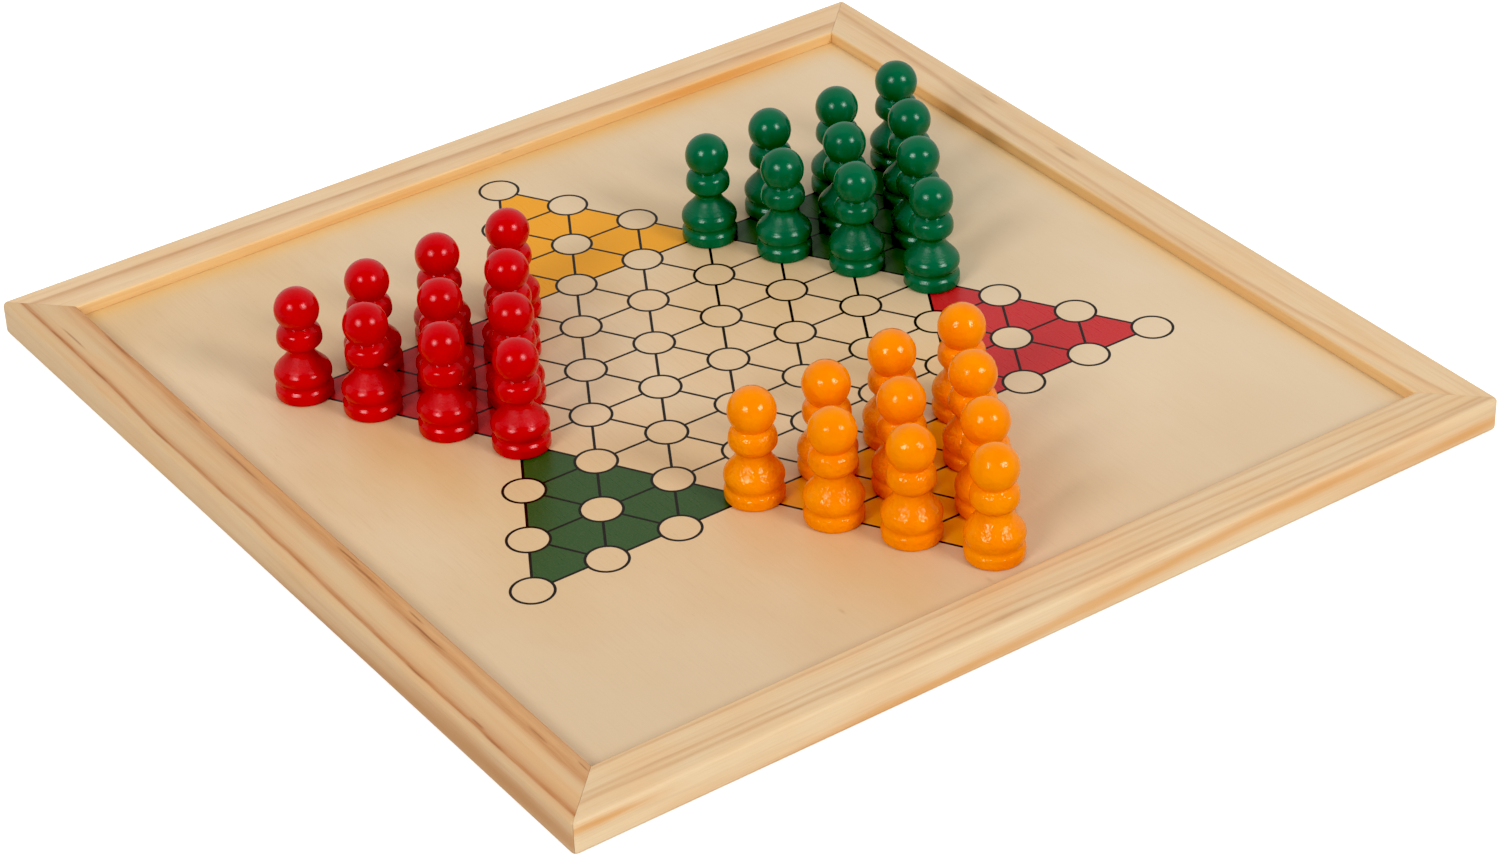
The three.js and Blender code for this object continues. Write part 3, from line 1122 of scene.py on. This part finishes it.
def build_softbox(name, azimuth, brightness):
    """A square lamp that faces the board. Brightness is its radiance against a white floor of 1."""
    lamp = bpy.data.lights.new(name, "AREA")
    lamp.shape = "SQUARE"
    lamp.size = SOFTBOX_SIDE
    lamp.energy = brightness * math.pi * SOFTBOX_SIDE**2
    softbox = bpy.data.objects.new(name, lamp)
    direction = away(azimuth, SOFTBOX_ELEVATION)
    softbox.location = direction * SOFTBOX_DISTANCE
    softbox.rotation_euler = direction.to_track_quat("Z", "Y").to_euler()
    bpy.context.scene.collection.objects.link(softbox)


def build_surroundings():
    """Pale paper behind and above the object and a dim room behind the camera. The camera itself
    sees only white."""
    world = bpy.data.worlds.new("studio")
    bpy.context.scene.world = world
    world.use_nodes = True
    tree = world.node_tree
    tree.nodes.clear()
    place = tree.nodes.new("ShaderNodeTexCoord")
    towards = tree.nodes.new("ShaderNodeVectorMath")
    towards.operation = "DOT_PRODUCT"
    towards.inputs[1].default_value = away(CAMERA_AZIMUTH, 0.0)
    tree.links.new(place.outputs["Generated"], towards.inputs[0])
    edge = tree.nodes.new("ShaderNodeMapRange")
    edge.interpolation_type = "SMOOTHSTEP"
    edge.inputs["From Min"].default_value = 0.12
    edge.inputs["From Max"].default_value = 0.28
    edge.inputs["To Min"].default_value = BRIGHT_BEHIND_OBJECT
    edge.inputs["To Max"].default_value = BRIGHT_BEHIND_CAMERA
    tree.links.new(towards.outputs["Value"], edge.inputs["Value"])
    path = tree.nodes.new("ShaderNodeLightPath")
    seen = tree.nodes.new("ShaderNodeMix")
    seen.data_type = "FLOAT"
    seen.inputs[3].default_value = 1.0
    tree.links.new(path.outputs["Is Camera Ray"], seen.inputs[0])
    tree.links.new(edge.outputs["Result"], seen.inputs[2])
    background = tree.nodes.new("ShaderNodeBackground")
    background.inputs["Color"].default_value = (1.0, 1.0, 1.0, 1.0)
    tree.links.new(seen.outputs[0], background.inputs["Strength"])
    output = tree.nodes.new("ShaderNodeOutputWorld")
    tree.links.new(background.outputs[0], output.inputs["Surface"])


def build_camera():
    """A long lens that looks down at the board across its front corner."""
    lens = bpy.data.cameras.new("camera")
    lens.lens = CAMERA_LENS
    lens.sensor_width = SENSOR_WIDTH
    lens.clip_start = 0.01
    lens.clip_end = 50.0
    camera = bpy.data.objects.new("camera", lens)
    direction = away(CAMERA_AZIMUTH, CAMERA_ELEVATION)
    camera.location = LOOK_AT + direction * CAMERA_DISTANCE
    level = direction.to_track_quat("Z", "Y").to_matrix()
    camera.rotation_euler = (level @ Matrix.Rotation(math.radians(CAMERA_ROLL), 3, "Z")).to_euler()
    bpy.context.scene.collection.objects.link(camera)
    bpy.context.scene.camera = camera


def build_stage():
    build_floor()
    for name, (turn, brightness) in SOFTBOXES.items():
        build_softbox(name, CAMERA_AZIMUTH + turn, brightness)
    build_surroundings()
    build_camera()
    settings = bpy.context.scene.view_settings
    settings.view_transform = "Standard"
    settings.look = "None"
    settings.use_curve_mapping = True
    settings.curve_mapping.black_level = (BLACK_LEVEL,) * 3
    settings.curve_mapping.update()


# ---------- Assembly ----------

build_frame()
dress_panel_and_nails()
build_print()
build_pawns()
build_stage()
